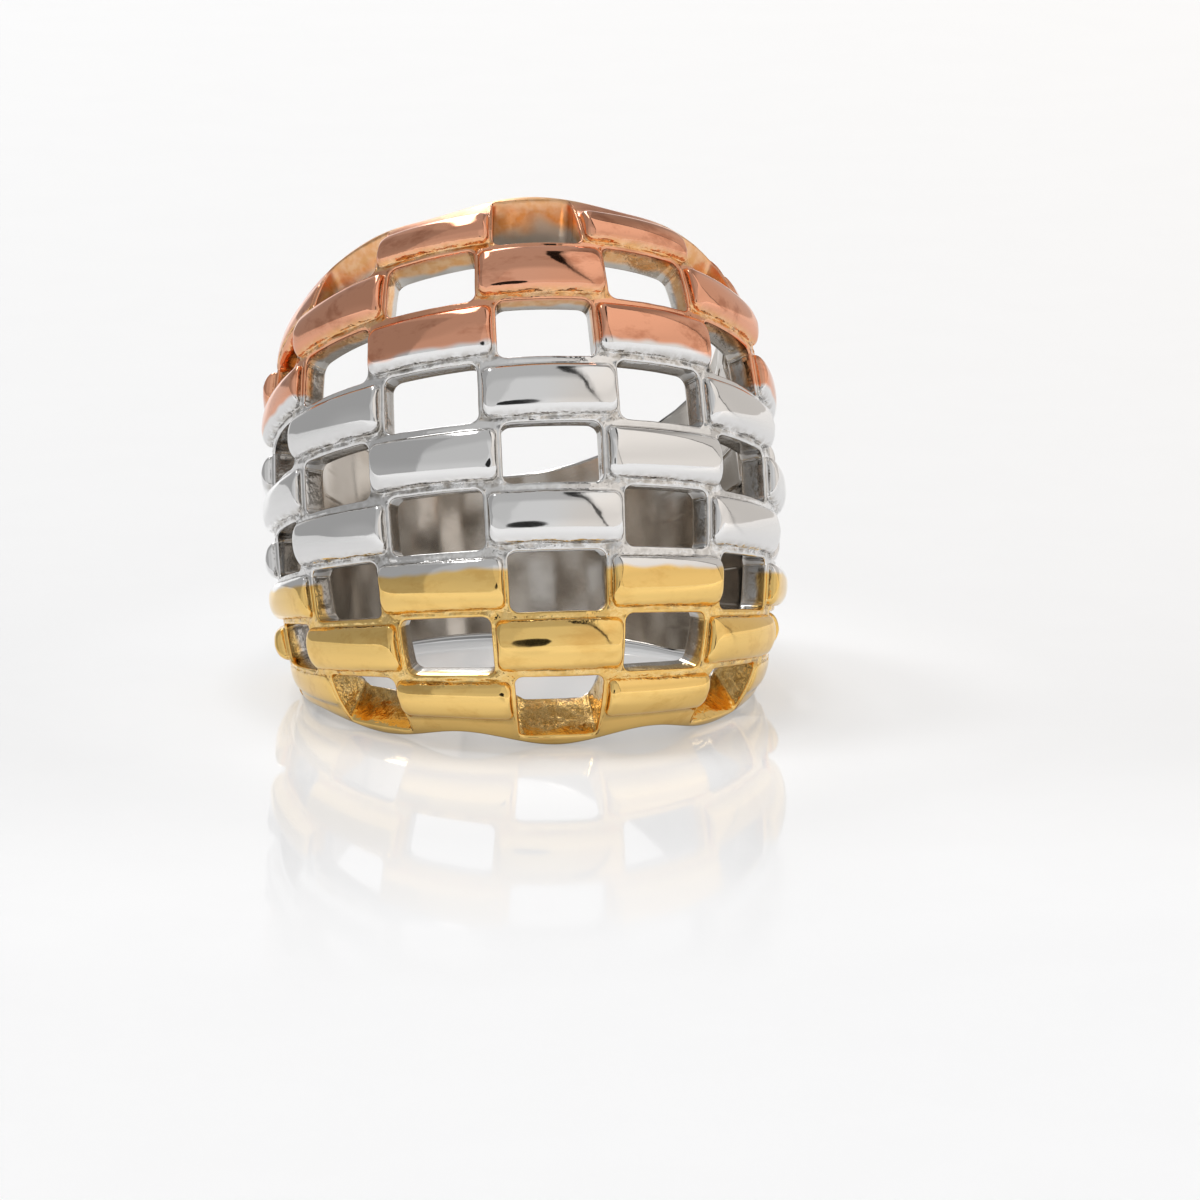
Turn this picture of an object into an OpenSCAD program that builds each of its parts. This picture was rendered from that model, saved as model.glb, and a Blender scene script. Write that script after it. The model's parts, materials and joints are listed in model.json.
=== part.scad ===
// Open mesh dome ring: a checkerboard of raised bars and pierced gaps that tapers into a plain shank.
// It is one casting, so one closed skin. It lies on its lower rim and the lower edge of its shank,
// with the finger's axis leaning back, the dome towards -Y and the shank towards +Y.

/* [Finger] */
// Radius of the finger hole
finger_r = 8.65; // [8.2:0.05:9.1]

/* [Dome] */
// Radius of the pierced wall, seen along the finger, without the bars
dome_r = 10.35; // [10:0.05:10.7]
// How far the middle of the dome lies in front of the finger's axis
dome_shift = 2.5; // [2:0.1:3.2]
// Half of the ring's height along the finger, at the front
front_h = 11.45; // [10.5:0.05:12.5]
// Radius of the rims, measured from the finger's axis
rim_r = 9.3; // [9.2:0.05:9.6]
// Thickness of the wall at the front, and of the shank
wall = 1.15; // [0.95:0.05:1.4]
// Share of the profile, from the middle row to the rim, that is nearly straight
flat_share = 0.54; // [0.4:0.01:0.7]
// How far the profile has turned inward where its straighter stretch ends
flat_turn = 16; // [8:1:22]
// How far the profile has turned inward at the rim
rim_turn = 67; // [60:1:75]

/* [Mesh] */
// Angle between neighbouring columns, about the middle of the dome
column_turn = 27.85; // [27:0.05:28.5]
// Half of a gap's width, in columns
gap_half_w = 0.41; // [0.36:0.01:0.43]
// Half of a gap's height, in rows
gap_half_h = 0.47; // [0.4:0.01:0.48]
// Radius of a gap's corners, in columns
gap_corner_w = 0.1; // [0.05:0.01:0.14]
// Radius of a gap's corners, in rows
gap_corner_h = 0.17; // [0.1:0.01:0.24]
// Row at which the gaps nearest the rims end
last_gap_end = 4.74; // [4.6:0.01:4.8]
// Row at which the bars nearest the rims lie
last_bar_row = 3.92; // [3.86:0.02:4]
// Height of those bars, as a share of the others'
last_bar_share = 0.85; // [0.75:0.05:1]
// Height of a bar's crown above the wall
bar_rise = 0.53; // [0.3:0.01:0.7]
// Share of the crown's height left on the four bars nearest the rims at the sides
side_bar_rise = 0.2; // [0.1:0.05:1]
// Depth of the scallops in the rims, in rows
scallop = 0.33; // [0.1:0.01:0.4]

/* [Shank] */
// Half of the shank's height at the back
back_h = 3.5; // [2.8:0.1:4.5]

/* [Hidden] */

// Rows from the middle to each rim, and columns from the front to each side
rows = 5;
columns = 4;
// Where the plain shank starts and where its middle is, in columns, and its steps to each side
shank_start = columns + 0.95;
shank_middle = 180 / column_turn;
shank_steps = 7;
// Rows along which the plain shank has edges
shank_rows = [-5, -4.5, -3.5, -2.5, -1.5, -0.5, 0.5, 1.5, 2.5, 3.5, 4.5, 5];

// Rings of a bar from its foot to its crown:
// half width in columns, half height in rows, corner radii in columns and in rows, share of the rise
bar_rings = [
    [0.56, 0.375, 0.05, 0.12, 0],
    [0.545, 0.31, 0.06, 0.12, 0.62],
    [0.5, 0.15, 0.07, 0.09, 1],
];

// The lining below the outer skin: row, distance inward, distance towards the middle row at the front
lining_depths = [
    [0, wall, 0],
    [2, wall, 0.15],
    [3.5, wall, 0.6],
    [last_gap_end, 1.35, 1.95],
    [rows, rim_r - finger_r, 0.8],
];
// How soon that slope fades from the front to the sides: the smaller, the later
slope_power = 0.2;
depth_inward = [for (d = lining_depths) [d[0], d[1]]];
depth_to_middle = [for (d = lining_depths) [d[0], d[2]]];

// The profile along the finger is two arcs that meet smoothly, worked out for a length of 1
flat_arc_r = flat_share * 180 / (flat_turn * PI);
rim_arc_r = (1 - flat_share) * 180 / ((rim_turn - flat_turn) * PI);
function turn_at(s) = s < flat_share
    ? flat_turn * s / flat_share
    : flat_turn + (rim_turn - flat_turn) * (s - flat_share) / (1 - flat_share);
function arcs_at(s) =
    let (turn = turn_at(s), first = min(turn, flat_turn))
    [
        flat_arc_r * (1 - cos(first)) + rim_arc_r * (cos(first) - cos(turn)),
        flat_arc_r * sin(first) + rim_arc_r * (sin(turn) - sin(first)),
    ];
arcs_end = arcs_at(1);

// Where a column stands round the finger, the wall's outer radius and half height there, and how much
// of the lining's slope towards the middle row is left
function dome_point(c) =
    [dome_r * sin(column_turn * c), dome_shift + dome_r * cos(column_turn * c)];
function around(c) = let (p = dome_point(c)) atan2(p.x, p.y);
function wall_r(c) =
    finger_r + pow(pow(max(norm(dome_point(c)) - finger_r, 0), 4) + pow(wall, 4), 1 / 4);
function half_h(c) = (front_h + back_h) / 2 + (front_h - back_h) / 2 * cos(around(c));
function bulge(c) =
    pow(max(wall_r(c) - finger_r - wall, 0) / (wall_r(0) - finger_r - wall), slope_power);

// Row of the rim at a column: out at the even columns, in at the odd ones, plain on the shank
function rim_row(c) = abs(c) > columns ? rows : rows - scallop * (1 - cos(180 * c)) / 2;
close_enough = 0.001;
function on_rim(place) = abs(place[1]) > rim_row(place[0]) - close_enough;

// A place is [column, row]. The outer skin's point there, raised along the skin's normal
function skin(place, lift = 0) =
    let (
        c = place[0],
        s = abs(place[1]) / rows,
        arcs = arcs_at(s),
        turn = turn_at(s),
        drop = wall_r(c) - rim_r,
        tilt = atan2(drop * sin(turn) / arcs_end[0], half_h(c) * cos(turn) / arcs_end[1]),
        r = rim_r + drop * (1 - arcs[0] / arcs_end[0]) + lift * cos(tilt),
        h = half_h(c) * arcs[1] / arcs_end[1] + lift * sin(tilt)
    )
    [r * sin(around(c)), -r * cos(around(c)), sign(place[1]) * h];

// The lining's point below the skin's, never inside the finger hole
function lining(place) =
    let (
        outer = skin(place),
        row = on_rim(place) ? rows : abs(place[1]),
        r = norm([outer.x, outer.y]),
        share = max(r - lookup(row, depth_inward), finger_r) / r,
        back = lookup(row, depth_to_middle) * bulge(place[0])
    )
    [outer.x * share, outer.y * share, outer.z - sign(place[1]) * back];
function outside(places, lift = 0) = [for (p = places) skin(p, lift)];
function inside(places) = [for (p = places) lining(p)];

// Lists of places
function reversed(list) = [for (i = [len(list) - 1:-1:0]) list[i]];
function mirrored(places) = [for (p = places) [-p[0], p[1]]];
function flat_list(lists) = [for (l = lists) for (x = l) x];

// A rounded box is [column, row, half width, half height, corner width, corner height].
// Its corner to the right (1) or left (-1) and up (1) or down (-1): angle 0 is on the side and 90 on the
// level edge. An edge's first and last points lie on the corners at the angle near.
function corner(box, right, up, angle) = [
    box[0] + right * (box[2] - box[4] * (1 - cos(angle))),
    box[1] + up * (box[3] - box[5] * (1 - sin(angle))),
];
function level_edge(box, up, near) = concat(
    [corner(box, -1, up, near), corner(box, -1, up, 90)],
    [for (k = [-1, 1]) [box[0] + k * (box[2] - box[4]) / 3, box[1] + up * box[3]]],
    [corner(box, 1, up, 90), corner(box, 1, up, near)]
);
function side_edge(box, right, near) = [
    corner(box, right, -1, near),
    corner(box, right, -1, 0),
    corner(box, right, 1, 0),
    corner(box, right, 1, near),
];

// Gaps stand where column and row add up to an even number, and bars between them. The gaps of the
// last rows reach closer to the rims, and those of the last columns are filled.
function gap_box(c, j) =
    let (
        last = abs(j) == rows - 1,
        half = last ? (last_gap_end - (rows - 1 - gap_half_h)) / 2 : gap_half_h,
        row = last ? sign(j) * (last_gap_end - half) : j
    )
    [c, row, gap_half_w, half, gap_corner_w, gap_corner_h];
gap_near = 45;
function gap_level(c, j, up) = level_edge(gap_box(c, j), up, gap_near);
function gap_side(c, j, right) = side_edge(gap_box(c, j), right, gap_near);
gap_reach = corner(gap_box(0, 0), 1, 1, gap_near)[0];

// Places along a rim at one column, to the right: opposite the gap's corners, or beyond the last bar
bar_end = 0.4;
function rim_edge(c, up) =
    let (
        even = c % 2 == 0,
        reach = even ? gap_reach : 1 - gap_reach,
        end = even ? gap_half_w - gap_corner_w : bar_end
    )
    [for (x = [-reach, -end, -end / 3, end / 3, end, reach]) [c + x, up * rim_row(c + x)]];

// The border of a bar's tile, anticlockwise from the middle of its left side:
// the near sides of the four gaps round it, or the rim where the mesh ends
function tile_border(c, j) =
    let (
        left = reversed(gap_side(c - 1, j, 1)),
        bottom = j == 1 - rows ? rim_edge(c, -1) : gap_level(c, j - 1, 1),
        right = gap_side(c + 1, j, -1),
        top = reversed(j == rows - 1 ? rim_edge(c, 1) : gap_level(c, j + 1, -1))
    )
    concat([left[2], left[3]], bottom, right, top, [left[0], left[1]]);
side_near = 30;
function bar_ring(c, j, ring) =
    let (
        last = abs(j) == rows - 1,
        rise = bar_rise * ring[4] * (last && abs(c) == columns - 1 ? side_bar_rise : 1),
        share = last ? last_bar_share : 1,
        box = [c, last ? sign(j) * last_bar_row : j, ring[0], ring[1] * share, ring[2], ring[3] * share],
        left = reversed(side_edge(box, -1, side_near)),
        bottom = level_edge(box, -1, 90 - side_near),
        right = side_edge(box, 1, side_near),
        top = reversed(level_edge(box, 1, 90 - side_near))
    )
    outside(concat([left[2], left[3]], bottom, right, top, [left[0], left[1]]), rise);

// Triangles, each anticlockwise seen from outside the metal
function turned(triangles) = [for (t = triangles) reversed(t)];
// Between a border and the same number of points inside it, both anticlockwise
function band(outer, inner) = [
    for (i = [0:len(outer) - 1])
        let (k = (i + 1) % len(outer))
        each [[outer[i], outer[k], inner[i]], [inner[i], outer[k], inner[k]]]
];
// Across a ring whose first and last points face each other, and so on to its far end
function cap(ring) = [
    for (i = [0:len(ring) / 2 - 2])
        let (far = len(ring) - 1 - i)
        each [[ring[i], ring[i + 1], ring[far]], [ring[i + 1], ring[far - 1], ring[far]]]
];
// Between a line going up on the left and one with as many or fewer points on the right
function between(left, right) =
    let (n = len(left) - 1, m = len(right) - 1)
    [
        for (i = [0:n - 1])
            let (k = round(i * m / n), next = round((i + 1) * m / n))
            each concat(
                [[left[i], right[k], left[i + 1]]],
                next > k ? [[left[i + 1], right[k], right[next]]] : []
            )
    ];
// The metal's edge below a border that has the tile on its left
function edge_faces(places) =
    let (outer = outside(places), inner = inside(places))
    [
        for (i = [0:len(places) - 2])
            each [
                [outer[i + 1], outer[i], inner[i]],
                [outer[i + 1], inner[i], inner[i + 1]],
            ]
    ];

// The outer skin and the lining between two lines of places
function sheet(left, right) = concat(
    between(outside(left), outside(right)),
    turned(between(inside(left), inside(right)))
);

// Sub-parts
function bar_faces(c, j) =
    let (border = tile_border(c, j), rings = [for (ring = bar_rings) bar_ring(c, j, ring)])
    concat(
        band(outside(border), rings[0]),
        band(rings[0], rings[1]),
        band(rings[1], rings[2]),
        cap(rings[2]),
        turned(cap(inside(border)))
    );
function gap_faces(c, j) =
    let (
        top = gap_level(c, j, 1),
        right = gap_side(c, j, 1),
        bottom = gap_level(c, j, -1),
        left = gap_side(c, j, -1),
        border = concat(top, [right[2], right[1]], reversed(bottom), [left[1], left[2]])
    )
    abs(c) == columns
        ? concat(turned(cap(outside(border))), cap(inside(border)))
        : edge_faces(concat(border, [top[0]]));
// The strip of rim beyond the last gap of an even column
function lobe_faces(c, up) =
    let (
        gap = gap_level(c, up * (rows - 1), up),
        rim = rim_edge(c, up),
        lower = up > 0 ? gap : rim,
        upper = up > 0 ? rim : gap
    )
    sheet(reversed(lower), reversed(upper));
// From the last column to the shank
shoulder_edge = concat(
    [rim_edge(columns, -1)[5]],
    flat_list([
        for (j = [1 - rows:rows - 1])
            (columns + j) % 2 == 0 ? gap_side(columns, j, 1) : gap_side(columns + 1, j, -1)
    ]),
    [rim_edge(columns, 1)[5]]
);
function shank_line(c) = [for (row = shank_rows) [c, row]];
shank_reach = shank_middle - shank_start;
shank_half = [for (k = [0:shank_steps - 1]) shank_start + k * shank_reach / shank_steps];
shank_columns = concat(shank_half, [shank_middle], [for (c = reversed(shank_half)) -c]);
shank_faces = concat(
    sheet(shoulder_edge, shank_line(shank_start)),
    turned(sheet(mirrored(shoulder_edge), shank_line(-shank_start))),
    [
        for (i = [0:len(shank_columns) - 2])
            each sheet(shank_line(shank_columns[i]), shank_line(shank_columns[i + 1]))
    ]
);
// All the way round one rim, to the right
function rim_loop(up) =
    let (
        edges = [for (c = [-columns:columns]) rim_edge(c, up)],
        mesh = concat([edges[0][0]], [for (e = edges) for (i = [1:5]) e[i]])
    )
    concat(mesh, [for (c = shank_columns) [c, up * rows]], [mesh[0]]);

ring_faces = concat(
    flat_list([
        for (c = [-columns:columns], j = [1 - rows:rows - 1])
            (c + j) % 2 == 0 ? gap_faces(c, j) : bar_faces(c, j)
    ]),
    flat_list([for (c = [-columns:2:columns], up = [-1, 1]) lobe_faces(c, up)]),
    shank_faces,
    edge_faces(rim_loop(-1)),
    edge_faces(reversed(rim_loop(1)))
);

// How far the ring leans back: its lowest points in front and behind then stand equally low
underside = [for (t = ring_faces) for (p = t) if (p.z < -back_h / 2) p];
function lowest(lean, back) =
    min([for (p = underside) if (sign(p.y) == back) p.z * cos(lean) - p.y * sin(lean)]);
function settled(low, high, steps) =
    let (mid = (low + high) / 2)
    steps == 0 ? mid
    : lowest(mid, -1) > lowest(mid, 1) ? settled(low, mid, steps - 1)
    : settled(mid, high, steps - 1);
steepest = 60;
lean = settled(0, steepest, 24);
floor_z = lowest(lean, -1);
// Reach of the leaning ring along Y, to set it over the origin
reach_y = [for (t = ring_faces) for (p = t) p.y * cos(lean) + p.z * sin(lean)];

module mesh_ring() {
    corners = flat_list(ring_faces);
    color("silver")
        translate([0, -(min(reach_y) + max(reach_y)) / 2, -floor_z])
            rotate([-lean, 0, 0])
                polyhedron(corners, [for (i = [0:3:len(corners) - 1]) [i + 2, i + 1, i]]);
}

mesh_ring();
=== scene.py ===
"""A silver finger ring with an open dome of raised bars, plated in rose gold, silver and yellow gold.

The ring is one casting, so it is one welded mesh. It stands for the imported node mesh_ring and keeps that
node's form: the same skin, lining, gaps and bars in finer steps, with rounded edges and half-round bars.
A place on the ring is a column (0 at the front, counted to the right) and a row (0 half way up).
Lengths are millimetres about the finger's axis until Ring.seated sets the casting in the frame.
"""

import json
import logging
import math
from dataclasses import dataclass, field, replace
from enum import Enum

import bmesh
import bpy
import numpy as np
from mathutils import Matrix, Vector


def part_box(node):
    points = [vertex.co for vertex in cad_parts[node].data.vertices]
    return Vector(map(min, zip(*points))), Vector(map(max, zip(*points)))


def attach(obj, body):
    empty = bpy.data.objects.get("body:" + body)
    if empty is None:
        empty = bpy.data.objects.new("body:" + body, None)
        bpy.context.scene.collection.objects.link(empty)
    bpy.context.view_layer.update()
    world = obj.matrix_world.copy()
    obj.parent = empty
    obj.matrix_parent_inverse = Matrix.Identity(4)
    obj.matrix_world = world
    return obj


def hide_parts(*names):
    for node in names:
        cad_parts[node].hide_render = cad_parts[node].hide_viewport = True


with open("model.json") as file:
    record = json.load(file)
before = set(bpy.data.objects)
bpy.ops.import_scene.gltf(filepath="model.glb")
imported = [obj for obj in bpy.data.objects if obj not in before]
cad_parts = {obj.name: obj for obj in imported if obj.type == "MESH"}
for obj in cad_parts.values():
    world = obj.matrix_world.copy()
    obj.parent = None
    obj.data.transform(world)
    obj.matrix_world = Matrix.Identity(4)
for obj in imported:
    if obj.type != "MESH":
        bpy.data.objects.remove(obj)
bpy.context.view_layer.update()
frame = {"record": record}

log = logging.getLogger("mesh_ring")
MM = 0.001
NODE = "mesh_ring"
Socket = bpy.types.NodeSocket
Pair = tuple[float, float]
Triple = tuple[float, float, float]
BLACK = (0.0, 0.0, 0.0, 1.0)
WHITE = (1.0, 1.0, 1.0, 1.0)
WELD_MM = 2e-4
MEETING = 45.0
LINING = 1.0
MARKS = ("plate_row", "cast_grain", "wall_depth")


class Side(Enum):
    """One of the two ends of a direction: left or down, and right or up."""

    LOW = -1
    HIGH = 1


class Tone(Enum):
    """A metal's reflectance as linear red, green and blue: clean, and where it is stained or in shade."""

    ROSE = ((0.87, 0.42, 0.265), (0.58, 0.23, 0.13))
    SILVER = ((0.84, 0.835, 0.83), (0.50, 0.475, 0.44))
    INSIDE = ((0.70, 0.665, 0.62), (0.58, 0.54, 0.49))
    YELLOW = ((0.96, 0.65, 0.225), (0.84, 0.52, 0.155))
    AMBER = ((0.95, 0.60, 0.33), (0.88, 0.47, 0.19))
    OCHRE = ((0.95, 0.68, 0.29), (0.86, 0.55, 0.18))

    @property
    def clean(self) -> tuple[float, ...]:
        """The clean metal's colour."""
        return (*self.value[0], 1.0)

    @property
    def stained(self) -> tuple[float, ...]:
        """The stained metal's colour."""
        return (*self.value[1], 1.0)


# Forms


@dataclass(frozen=True)
class Form:
    """The ring's skin and lining as functions of places, in millimetres about the finger's axis."""

    finger_r: float = 8.65
    dome_r: float = 10.35
    dome_shift: float = 2.5
    front_h: float = 11.45
    back_h: float = 3.5
    rim_r: float = 9.3
    wall: float = 1.15
    flat_share: float = 0.54
    flat_turn: float = math.radians(16)
    rim_turn: float = math.radians(67)
    column_turn: float = math.radians(27.85)
    rows: int = 5
    columns: int = 4
    scallop: float = 0.33
    last_gap_end: float = 4.74
    bulge_power: int = 4
    slope_power: float = 0.2
    lining_rows: tuple[float, ...] = (0, 2, 3.5, 4.74, 5)
    lining_inward: tuple[float, ...] = (1.15, 1.15, 1.15, 1.35, 0.65)
    lining_to_middle: tuple[float, ...] = (0, 0.15, 0.6, 1.95, 0.8)

    def cells(self, odd: bool) -> list[tuple[int, int]]:
        """The cells of the checkerboard's one or other colour.

        Args:
            odd: Whether column and row add up to an odd number, as at the bars, or to an even one.

        Returns:
            Their columns and rows, column by column.
        """
        last = self.rows - 1
        return [(column, row) for column in range(-self.columns, self.columns + 1)
                for row in range(-last, last + 1) if (column + row) % 2 == odd]

    def turn_at(self, s: np.ndarray) -> np.ndarray:
        """How far the profile has turned inward.

        Args:
            s: Shares of the length from the middle row, 0, to the rim, 1.

        Returns:
            The turn at each, in radians.
        """
        past_flat = (s - self.flat_share) / (1 - self.flat_share)
        near_rim = self.flat_turn + (self.rim_turn - self.flat_turn) * past_flat
        return np.where(s < self.flat_share, self.flat_turn * s / self.flat_share, near_rim)

    def arcs_at(self, s: np.ndarray) -> tuple[np.ndarray, np.ndarray]:
        """The profile's drop and height at a share s of its length.

        Args:
            s: Shares of the length from the middle row, 0, to the rim, 1.

        Returns:
            The drop towards the finger and the height along it, for a profile of length 1.
        """
        turn = self.turn_at(s)
        first = np.minimum(turn, self.flat_turn)
        flat_r = self.flat_share / self.flat_turn
        rim_r = (1 - self.flat_share) / (self.rim_turn - self.flat_turn)
        drop = flat_r * (1 - np.cos(first)) + rim_r * (np.cos(first) - np.cos(turn))
        return drop, flat_r * np.sin(first) + rim_r * (np.sin(turn) - np.sin(first))

    def around(self, column: np.ndarray) -> tuple[np.ndarray, np.ndarray]:
        """Where the wall stands round the finger.

        Args:
            column: Columns.

        Returns:
            The angle about the finger from the front, and the radius from its axis, at each column.
        """
        x = self.dome_r * np.sin(self.column_turn * column)
        y = self.dome_shift + self.dome_r * np.cos(self.column_turn * column)
        bulge = np.maximum(np.hypot(x, y) - self.finger_r, 0)
        power = self.bulge_power
        return np.arctan2(x, y), self.finger_r + (bulge**power + self.wall**power) ** (1 / power)

    def half_h(self, column: np.ndarray) -> np.ndarray:
        """Half of the height along the finger at each column."""
        angle, _ = self.around(column)
        return (self.front_h + self.back_h) / 2 + (self.front_h - self.back_h) / 2 * np.cos(angle)

    def row_mm(self, column: np.ndarray) -> np.ndarray:
        """Height of one row at each column."""
        return self.half_h(column) / self.rows

    def column_mm(self) -> float:
        """Width of one column at the middle row."""
        return self.dome_r * self.column_turn

    def rim_row(self, column: np.ndarray) -> np.ndarray:
        """Row of the rim: out at the even columns, in at the odd ones, plain on the shank."""
        dip = self.scallop * (1 - np.cos(np.pi * column)) / 2
        return self.rows - np.where(np.abs(column) > self.columns, 0, dip)

    def skin(self, places: np.ndarray, lift: np.ndarray | float = 0.0) -> np.ndarray:
        """Points of the outer skin.

        Args:
            places: Columns and rows, one pair a point.
            lift: Height above the skin along its normal, one for all or one a point.

        Returns:
            One point a place, x to the right, y away and z along the finger.
        """
        column, row = places[:, 0], places[:, 1]
        angle, wall_r = self.around(column)
        half = self.half_h(column)
        s = np.abs(row) / self.rows
        drop, height = self.arcs_at(s)
        end_drop, end_height = self.arcs_at(np.array(1.0))
        depth = wall_r - self.rim_r
        turn = self.turn_at(s)
        tilt = np.arctan2(depth * np.sin(turn) / end_drop, half * np.cos(turn) / end_height)
        r = self.rim_r + depth * (1 - drop / end_drop) + lift * np.cos(tilt)
        h = half * height / end_height + lift * np.sin(tilt)
        return np.stack([r * np.sin(angle), -r * np.cos(angle), np.sign(row) * h], 1)

    def lining(self, places: np.ndarray, on_rim: bool = False) -> np.ndarray:
        """Points of the lining below the skin, never inside the finger hole.

        Args:
            places: Columns and rows, one pair a point.
            on_rim: Whether the places lie on the rims' inner edges.

        Returns:
            One point a place.
        """
        outer = self.skin(places)
        row = np.full(len(places), float(self.rows)) if on_rim else np.abs(places[:, 1])
        r = np.hypot(outer[:, 0], outer[:, 1])
        share = np.maximum(r - np.interp(row, self.lining_rows, self.lining_inward), self.finger_r) / r
        _, wall_r = self.around(places[:, 0])
        _, front_r = self.around(np.array(0.0))
        bulge = np.maximum(wall_r - self.finger_r - self.wall, 0) / (front_r - self.finger_r - self.wall)
        back = np.interp(row, self.lining_rows, self.lining_to_middle) * bulge**self.slope_power
        return outer * np.stack([share, share, np.ones_like(share)], 1) - np.stack(
            [np.zeros_like(back), np.zeros_like(back), np.sign(places[:, 1]) * back], 1)


@dataclass(frozen=True)
class Steps:
    """How finely the casting is divided."""

    corner: int = 3
    level: int = 14
    side: int = 6
    diagonal: int = 4
    ledge: int = 3
    fillet: int = 3
    wall: int = 3
    shoulder: int = 3
    shank: int = 14


STEPS = Steps()


@dataclass(frozen=True)
class Box:
    """A rounded box of places."""

    column: float
    row: float
    half_w: float
    half_h: float
    corner_w: float
    corner_h: float

    def grown(self, w: float, h: float) -> "Box":
        """The box with its sides moved out by w columns and h rows."""
        return replace(self, half_w=self.half_w + w, half_h=self.half_h + h,
                       corner_w=self.corner_w + w, corner_h=self.corner_h + h)

    def corner(self, right: int, up: int, degrees: np.ndarray) -> np.ndarray:
        """Places on one corner.

        Args:
            right: 1 for a right corner and -1 for a left one.
            up: 1 for an upper corner and -1 for a lower one.
            degrees: Turns round the corner, from 0 on the side to 90 on the level edge.

        Returns:
            One place a turn.
        """
        a = np.radians(degrees)
        return np.stack([self.column + right * (self.half_w - self.corner_w * (1 - np.cos(a))),
                         self.row + up * (self.half_h - self.corner_h * (1 - np.sin(a)))], 1)

    def level_edge(self, up: int, near: float = MEETING) -> np.ndarray:
        """The upper or lower edge.

        Args:
            up: 1 for the upper edge and -1 for the lower one.
            near: Degrees at which it starts and ends on its corners.

        Returns:
            Places from left to right.
        """
        arc = np.linspace(near, 90, STEPS.corner + 1)
        left, right = self.corner(-1, up, arc), self.corner(1, up, arc[::-1])
        flat = np.linspace(left[-1], right[0], STEPS.level + 1)
        return np.concatenate([left, flat[1:-1], right])

    def side_edge(self, right: int, near: float = MEETING) -> np.ndarray:
        """The left or right edge.

        Args:
            right: 1 for the right edge and -1 for the left one.
            near: Degrees at which it starts and ends on its corners.

        Returns:
            Places from bottom to top.
        """
        arc = np.linspace(near, 0, STEPS.corner + 1)
        low, high = self.corner(right, -1, arc), self.corner(right, 1, arc[::-1])
        flat = np.linspace(low[-1], high[0], STEPS.side + 1)
        return np.concatenate([low, flat[1:-1], high])

    def loop(self, side_near: float, level_near: float) -> np.ndarray:
        """All the way round, anticlockwise from the top of the left side.

        Args:
            side_near: Degrees at which the side edges end.
            level_near: Degrees at which the level edges end; the corners between have the diagonals' steps.

        Returns:
            Places, the first not repeated at the end.
        """
        arc = np.linspace(side_near, level_near, STEPS.diagonal + 1)[1:-1]
        return np.concatenate([
            self.side_edge(-1, side_near)[::-1], self.corner(-1, -1, arc),
            self.level_edge(-1, level_near), self.corner(1, -1, arc[::-1]),
            self.side_edge(1, side_near), self.corner(1, 1, arc),
            self.level_edge(1, level_near)[::-1], self.corner(-1, 1, arc[::-1]),
        ])

    def gap_loop(self) -> np.ndarray:
        """All the way round, with edges that meet half way round the corners.

        Returns:
            Places, anticlockwise from the top of the left side, the first not repeated at the end.
        """
        edges = self.side_edge(-1)[::-1], self.level_edge(-1), self.side_edge(1), self.level_edge(1)[::-1]
        return np.concatenate([edge[:-1] for edge in edges])


def linked(sides: list[np.ndarray], closed: bool = True) -> np.ndarray:
    """Joins sides one after the other by straight diagonals.

    Args:
        sides: The sides in order.
        closed: Whether the last is joined with the first.

    Returns:
        All their points.
    """
    parts = []
    for side, after in zip(sides, sides[1:] + sides[:1]):
        parts += [side, np.linspace(side[-1], after[0], STEPS.diagonal + 1)[1:-1]]
    return np.concatenate(parts if closed else parts[:-1])


def woven(left: np.ndarray, right: np.ndarray, bottom: np.ndarray, top: np.ndarray) -> np.ndarray:
    """A surface between four edges.

    Args:
        left: The left edge from bottom to top.
        right: The right edge from bottom to top.
        bottom: The bottom edge from left to right.
        top: The top edge from left to right.

    Returns:
        Lines of points from bottom to top, each from left to right.
    """
    def shares(a: np.ndarray, b: np.ndarray) -> np.ndarray:
        """How far along two opposite edges their points lie, from 0 to 1."""
        run = [np.concatenate([[0], np.cumsum(np.linalg.norm(np.diff(e, axis=0), axis=1))]) for e in (a, b)]
        return (run[0] / run[0][-1] + run[1] / run[1][-1]) / 2

    u, v = shares(bottom, top)[None, :, None], shares(left, right)[:, None, None]
    across = (1 - u) * left[:, None] + u * right[:, None]
    upwards = (1 - v) * bottom[None] + v * top[None]
    corners = (1 - v) * ((1 - u) * left[0] + u * right[0]) + v * ((1 - u) * left[-1] + u * right[-1])
    return across + upwards - corners


def between(a: np.ndarray, b: np.ndarray, steps: int) -> np.ndarray:
    """Divides straight lines.

    Args:
        a: Points at which the lines start.
        b: Points at which they end.
        steps: The number of steps.

    Returns:
        The points step by step, both ends included.
    """
    return np.stack([a + (b - a) * k / steps for k in range(steps + 1)])


def rounded(start: np.ndarray, edge: np.ndarray, end: np.ndarray) -> np.ndarray:
    """Rows of points that round an edge off.

    Args:
        start: Points on one face, near the edge.
        edge: Points on the edge.
        end: Points on the other face, near the edge.

    Returns:
        Rows from start to end.
    """
    shares = np.linspace(0, 1, STEPS.fillet + 1)
    return np.stack([(1 - t) ** 2 * start + 2 * t * (1 - t) * edge + t**2 * end for t in shares])


def towards(a: np.ndarray, b: np.ndarray, distance: float, most: float = 0.45) -> np.ndarray:
    """Points on the way from a to b.

    Args:
        a: Points at which the ways start.
        b: Points at which they end.
        distance: How far from a.
        most: The largest share of the way.

    Returns:
        One point a way.
    """
    span = np.linalg.norm(b - a, axis=1, keepdims=True)
    return a + (b - a) * np.minimum(distance / span, most)


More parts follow.
